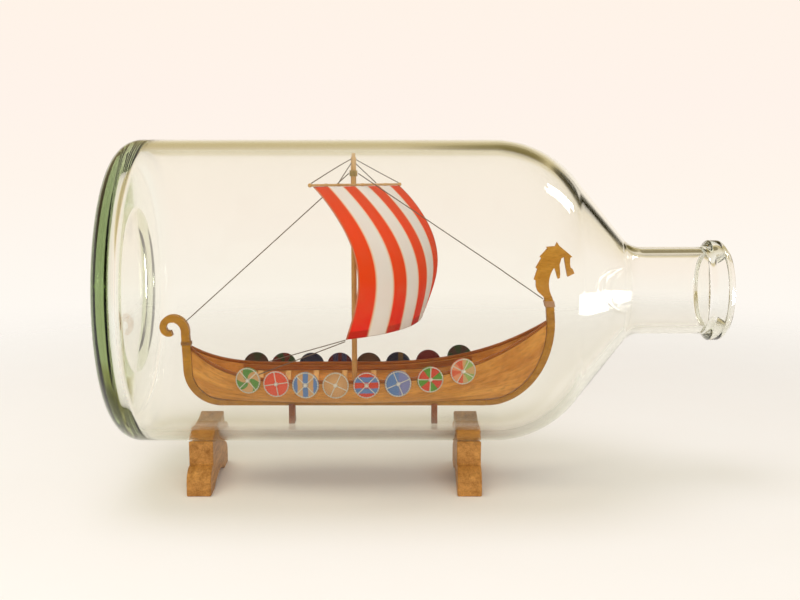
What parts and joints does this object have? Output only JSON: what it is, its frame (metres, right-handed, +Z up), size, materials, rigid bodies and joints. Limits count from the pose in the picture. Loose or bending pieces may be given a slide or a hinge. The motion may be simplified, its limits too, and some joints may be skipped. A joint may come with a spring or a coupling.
{
  "type": "ship in a bottle",
  "caption": "Model longship with a striped square sail, shields and a carved dragon head inside a clear glass bottle that lies across two small wooden cradles.",
  "frame": {"origin": "on the table under the middle of the bottle", "axes": "+X along the bottle from its base to its mouth, +Y towards the ship's port side, +Z up"},
  "size_m": [0.202, 0.1, 0.1152],
  "materials": {
    "clear_glass": "clear glass, faintly green where it is thick",
    "cradle_wood": "oiled and lightly varnished",
    "prop_wood": "dark stained",
    "carved_wood": "varnished",
    "plank_wood": "varnished",
    "rail_wood": "varnished",
    "rib_wood": "bare",
    "spar_wood": "lightly varnished",
    "ring_wood": "dark stained",
    "sailcloth": "red and white printed stripes on woven cotton",
    "shield_bands": "pale foil",
    "shield_bosses": "silvery",
    "rigging_thread": "twisted cotton thread",
    "lashing_thread": "pale thread",
    "shield_paint_1": "wooden board painted in several colours, satin",
    "shield_paint_2": "wooden board painted in several colours, satin",
    "shield_paint_3": "wooden board painted in several colours, satin",
    "shield_paint_4": "wooden board painted in several colours, satin",
    "shield_paint_5": "wooden board painted in several colours, satin",
    "shield_paint_6": "wooden board painted in several colours, satin",
    "shield_paint_7": "wooden board painted in several colours, satin",
    "shield_paint_8": "wooden board painted in several colours, satin",
    "shield_paint_port_1": "wooden board painted in several colours, satin",
    "shield_paint_port_2": "wooden board painted in several colours, satin",
    "shield_paint_port_3": "wooden board painted in several colours, satin",
    "shield_paint_port_4": "wooden board painted in several colours, satin",
    "shield_paint_port_5": "wooden board painted in several colours, satin",
    "shield_paint_port_6": "wooden board painted in several colours, satin",
    "shield_paint_port_7": "wooden board painted in several colours, satin",
    "shield_paint_port_8": "wooden board painted in several colours, satin"
  },
  "bodies": {
    "stand": {"base_end_cradle": "cradle_wood", "neck_end_cradle": "cradle_wood"},
    "bottle": {"glass_bottle": "clear_glass", "aft_prop": "prop_wood", "fore_prop": "prop_wood", "keel": "carved_wood", "stem_post": "carved_wood", "stern_post": "carved_wood", "dragon_head": "carved_wood", "port_garboard": "plank_wood", "port_second_strake": "plank_wood", "port_third_strake": "plank_wood", "port_fourth_strake": "plank_wood", "port_sheer_strake": "plank_wood", "starboard_garboard": "plank_wood", "starboard_second_strake": "plank_wood", "starboard_third_strake": "plank_wood", "starboard_fourth_strake": "plank_wood", "starboard_sheer_strake": "plank_wood", "port_gunwale": "rail_wood", "starboard_gunwale": "rail_wood", "port_stringer": "rail_wood", "starboard_stringer": "rail_wood", "ribs": "rib_wood", "mast_step": "rib_wood", "mast": "spar_wood", "mast_ring": "ring_wood", "yard": "spar_wood", "sail": "sailcloth", "port_shield_1": "shield_paint_port_1", "port_shield_2": "shield_paint_port_2", "port_shield_3": "shield_paint_port_3", "port_shield_4": "shield_paint_port_4", "port_shield_5": "shield_paint_port_5", "port_shield_6": "shield_paint_port_6", "port_shield_7": "shield_paint_port_7", "port_shield_8": "shield_paint_port_8", "starboard_shield_1": "shield_paint_1", "starboard_shield_2": "shield_paint_2", "starboard_shield_3": "shield_paint_3", "starboard_shield_4": "shield_paint_4", "starboard_shield_5": "shield_paint_5", "starboard_shield_6": "shield_paint_6", "starboard_shield_7": "shield_paint_7", "starboard_shield_8": "shield_paint_8", "port_shield_bands": "shield_bands", "starboard_shield_bands": "shield_bands", "port_shield_bosses": "shield_bosses", "starboard_shield_bosses": "shield_bosses", "backstay": "rigging_thread", "forestay": "rigging_thread", "near_end_lift": "rigging_thread", "near_inner_lift": "rigging_thread", "far_inner_lift": "rigging_thread", "far_end_lift": "rigging_thread", "port_sheet": "rigging_thread", "starboard_sheet": "rigging_thread", "stern_lashing": "rigging_thread", "stem_lashing": "lashing_thread"}
  },
  "joints": [
    {"name": "bottle_lift", "type": "slide", "parent": "stand", "child": "bottle", "axis": [0, 0, 1], "range_m": [0, 0.06]}
  ]
}
